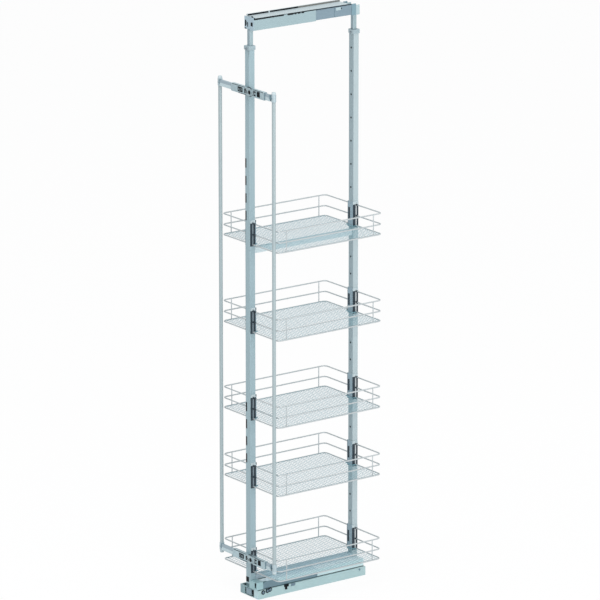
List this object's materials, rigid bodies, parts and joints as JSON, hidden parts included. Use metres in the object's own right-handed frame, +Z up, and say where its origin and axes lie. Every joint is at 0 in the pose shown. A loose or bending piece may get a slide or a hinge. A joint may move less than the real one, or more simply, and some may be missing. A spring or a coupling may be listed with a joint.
{
  "type": "pull out larder unit",
  "caption": "Tall narrow pull-out larder frame on floor and top runners, with wire baskets hung between two columns and a two-rod bracket for the cabinet door.",
  "frame": {"origin": "on the cabinet floor, on the underside of the floor pan, below the middle of the frame's depth and on its centre plane", "axes": "+Z up, +X to the right of someone facing the door bracket, +Y into the cabinet; the unit pulls out towards -Y"},
  "size_m": [0.3544, 0.5233, 2.217],
  "materials": {
    "adjuster_zinc": "dark zinc-plated round head",
    "bar_coating": "smooth silver-blue powder coat",
    "basket_coating": "smooth silver-grey coating on welded wire",
    "beam_coating": "smooth silver-blue powder coat",
    "block_zinc": "silver-grey coated casting",
    "cabinet_rail_coating": "smooth light grey-blue powder coat",
    "carriage_steel": "smooth light grey-blue powder coat on pressed steel",
    "carrier_plastic": "satin grey-blue moulding",
    "collar_plastic": "satin moulded collar",
    "column_coating": "smooth silver-blue powder coat",
    "column_foot_plastic": "satin moulded block",
    "dark_beam": "smooth grey-blue powder coat",
    "grey_cap": "satin moulded cap",
    "pan_steel": "smooth light grey-blue powder coat on pressed steel",
    "rod_coating": "smooth silver-blue powder coat",
    "roller_plastic": "smooth moulded wheel",
    "screw_zinc": "bright zinc-plated screw",
    "side_plate_steel": "darker grey-blue coating on pressed steel",
    "sleeve_zinc": "zinc-plated pressed steel",
    "top_block_plastic": "satin moulded block",
    "top_cap_plastic": "satin moulded cap",
    "top_channel_coating": "smooth light grey-blue powder coat",
    "top_extension_coating": "smooth grey-blue powder coat",
    "top_plate_coating": "smooth grey-blue powder coat",
    "tube_chrome": "drawn tube, bright zinc finish",
    "zinc_rail": "bright zinc-plated rail"
  },
  "bodies": {
    "floor": {"floor_pan": "pan_steel"},
    "middle": {"middle_rail": "zinc_rail", "middle_rail_cap": "grey_cap"},
    "frame": {"runner": "zinc_rail", "carriage": "carriage_steel", "carriage_front_plate": "carriage_steel", "carriage_side_plate": "side_plate_steel", "front_column": "column_coating", "front_column_foot": "column_foot_plastic", "rear_column": "column_coating", "bottom_beam": "dark_beam", "cross_beam": "beam_coating", "front_collar": "collar_plastic", "rear_collar": "collar_plastic", "front_clamp_screw": "screw_zinc", "rear_clamp_screw": "screw_zinc", "upper_sleeve": "sleeve_zinc", "lower_sleeve": "sleeve_zinc", "basket_1_front_carrier": "carrier_plastic", "basket_1_rear_carrier": "carrier_plastic", "basket_2_front_carrier": "carrier_plastic", "basket_2_rear_carrier": "carrier_plastic", "basket_3_front_carrier": "carrier_plastic", "basket_3_rear_carrier": "carrier_plastic", "basket_4_front_carrier": "carrier_plastic", "basket_4_rear_carrier": "carrier_plastic", "basket_5_front_carrier": "carrier_plastic", "basket_5_rear_carrier": "carrier_plastic"},
    "top_slider": {"front_top_tube": "tube_chrome", "rear_top_tube": "tube_chrome", "top_channel": "top_channel_coating", "top_channel_extension": "top_extension_coating", "top_front_plate": "top_plate_coating", "top_rear_block": "top_block_plastic", "top_end_cap": "top_cap_plastic"},
    "top_middle": {"top_middle_rail": "zinc_rail"},
    "top_cabinet": {"top_cabinet_rail": "cabinet_rail_coating"},
    "door_frame": {"upper_bar": "bar_coating", "lower_bar": "bar_coating", "left_rod": "rod_coating", "right_rod": "rod_coating", "upper_left_end_block": "block_zinc", "upper_right_end_block": "block_zinc", "lower_left_end_block": "block_zinc", "lower_right_end_block": "block_zinc"},
    "upper_adjuster": {"upper_adjuster": "adjuster_zinc"},
    "lower_adjuster": {"lower_adjuster": "adjuster_zinc"},
    "basket_1": {"basket_1": "basket_coating"},
    "basket_2": {"basket_2": "basket_coating"},
    "basket_3": {"basket_3": "basket_coating"},
    "basket_4": {"basket_4": "basket_coating"},
    "basket_5": {"basket_5": "basket_coating"},
    "pan_roller_left": {"pan_roller_left": "roller_plastic"},
    "pan_roller_right": {"pan_roller_right": "roller_plastic"},
    "middle_rear_roller_left": {"middle_rear_roller_left": "roller_plastic"},
    "middle_rear_roller_right": {"middle_rear_roller_right": "roller_plastic"},
    "middle_front_roller_left": {"middle_front_roller_left": "roller_plastic"},
    "middle_front_roller_right": {"middle_front_roller_right": "roller_plastic"},
    "runner_roller_left": {"runner_roller_left": "roller_plastic"},
    "runner_roller_right": {"runner_roller_right": "roller_plastic"}
  },
  "joints": [
    {"name": "pull_out", "type": "slide", "parent": "floor", "child": "frame", "axis": [0, -1, 0], "range_m": [0, 0.47]},
    {"name": "middle_slide", "type": "slide", "parent": "floor", "child": "middle", "axis": [0, -1, 0], "range_m": [0, 0.235]},
    {"name": "height_adjust", "type": "slide", "parent": "frame", "child": "top_slider", "axis": [0, 0, 1], "range_m": [-0.05, 0.12]},
    {"name": "top_middle_slide", "type": "slide", "parent": "top_slider", "child": "top_middle", "axis": [0, 1, 0], "range_m": [0, 0.235]},
    {"name": "top_cabinet_slide", "type": "slide", "parent": "top_middle", "child": "top_cabinet", "axis": [0, 1, 0], "range_m": [0, 0.235]},
    {"name": "door_side_adjust", "type": "slide", "parent": "frame", "child": "door_frame", "axis": [1, 0, 0], "range_m": [-0.005, 0.005]},
    {"name": "upper_adjuster_turn", "type": "hinge", "parent": "frame", "child": "upper_adjuster", "pos_m": [0.031, -0.2645, 1.941], "axis": [0, 1, 0], "range_deg": [-180, 180]},
    {"name": "lower_adjuster_turn", "type": "hinge", "parent": "frame", "child": "lower_adjuster", "pos_m": [0.031, -0.2645, 0.155], "axis": [0, 1, 0], "range_deg": [-180, 180]},
    {"name": "basket_1_lift", "type": "slide", "parent": "frame", "child": "basket_1", "axis": [0, 0, 1], "range_m": [0, 0.1]},
    {"name": "basket_2_lift", "type": "slide", "parent": "frame", "child": "basket_2", "axis": [0, 0, 1], "range_m": [0, 0.1]},
    {"name": "basket_3_lift", "type": "slide", "parent": "frame", "child": "basket_3", "axis": [0, 0, 1], "range_m": [0, 0.1]},
    {"name": "basket_4_lift", "type": "slide", "parent": "frame", "child": "basket_4", "axis": [0, 0, 1], "range_m": [0, 0.1]},
    {"name": "basket_5_lift", "type": "slide", "parent": "frame", "child": "basket_5", "axis": [0, 0, 1], "range_m": [0, 0.1]},
    {"name": "pan_roller_left_turn", "type": "hinge", "parent": "floor", "child": "pan_roller_left", "pos_m": [-0.01, -0.205, 0.0217], "axis": [1, 0, 0], "continuous": true},
    {"name": "pan_roller_right_turn", "type": "hinge", "parent": "floor", "child": "pan_roller_right", "pos_m": [0.01, -0.205, 0.0217], "axis": [1, 0, 0], "continuous": true},
    {"name": "middle_rear_roller_left_turn", "type": "hinge", "parent": "middle", "child": "middle_rear_roller_left", "pos_m": [-0.01, 0.237, 0.0083], "axis": [1, 0, 0], "continuous": true},
    {"name": "middle_rear_roller_right_turn", "type": "hinge", "parent": "middle", "child": "middle_rear_roller_right", "pos_m": [0.01, 0.237, 0.0083], "axis": [1, 0, 0], "continuous": true},
    {"name": "middle_front_roller_left_turn", "type": "hinge", "parent": "middle", "child": "middle_front_roller_left", "pos_m": [-0.018, -0.225, 0.0267], "axis": [1, 0, 0], "continuous": true},
    {"name": "middle_front_roller_right_turn", "type": "hinge", "parent": "middle", "child": "middle_front_roller_right", "pos_m": [0.018, -0.225, 0.0267], "axis": [1, 0, 0], "continuous": true},
    {"name": "runner_roller_left_turn", "type": "hinge", "parent": "frame", "child": "runner_roller_left", "pos_m": [-0.018, 0.225, 0.0153], "axis": [1, 0, 0], "continuous": true},
    {"name": "runner_roller_right_turn", "type": "hinge", "parent": "frame", "child": "runner_roller_right", "pos_m": [0.018, 0.225, 0.0153], "axis": [1, 0, 0], "continuous": true}
  ],
  "couplings": [
    {"joint": "middle_slide", "follows": "pull_out", "ratio": 0.5},
    {"joint": "top_middle_slide", "follows": "pull_out", "ratio": 0.5},
    {"joint": "top_cabinet_slide", "follows": "pull_out", "ratio": 0.5},
    {"joint": "pan_roller_left_turn", "follows": "pull_out", "rad_per_m": 83.333},
    {"joint": "pan_roller_right_turn", "follows": "pull_out", "rad_per_m": 83.333},
    {"joint": "middle_rear_roller_left_turn", "follows": "pull_out", "rad_per_m": 83.333},
    {"joint": "middle_rear_roller_right_turn", "follows": "pull_out", "rad_per_m": 83.333},
    {"joint": "middle_front_roller_left_turn", "follows": "pull_out", "rad_per_m": 83.333},
    {"joint": "middle_front_roller_right_turn", "follows": "pull_out", "rad_per_m": 83.333},
    {"joint": "runner_roller_left_turn", "follows": "pull_out", "rad_per_m": 83.333},
    {"joint": "runner_roller_right_turn", "follows": "pull_out", "rad_per_m": 83.333}
  ]
}
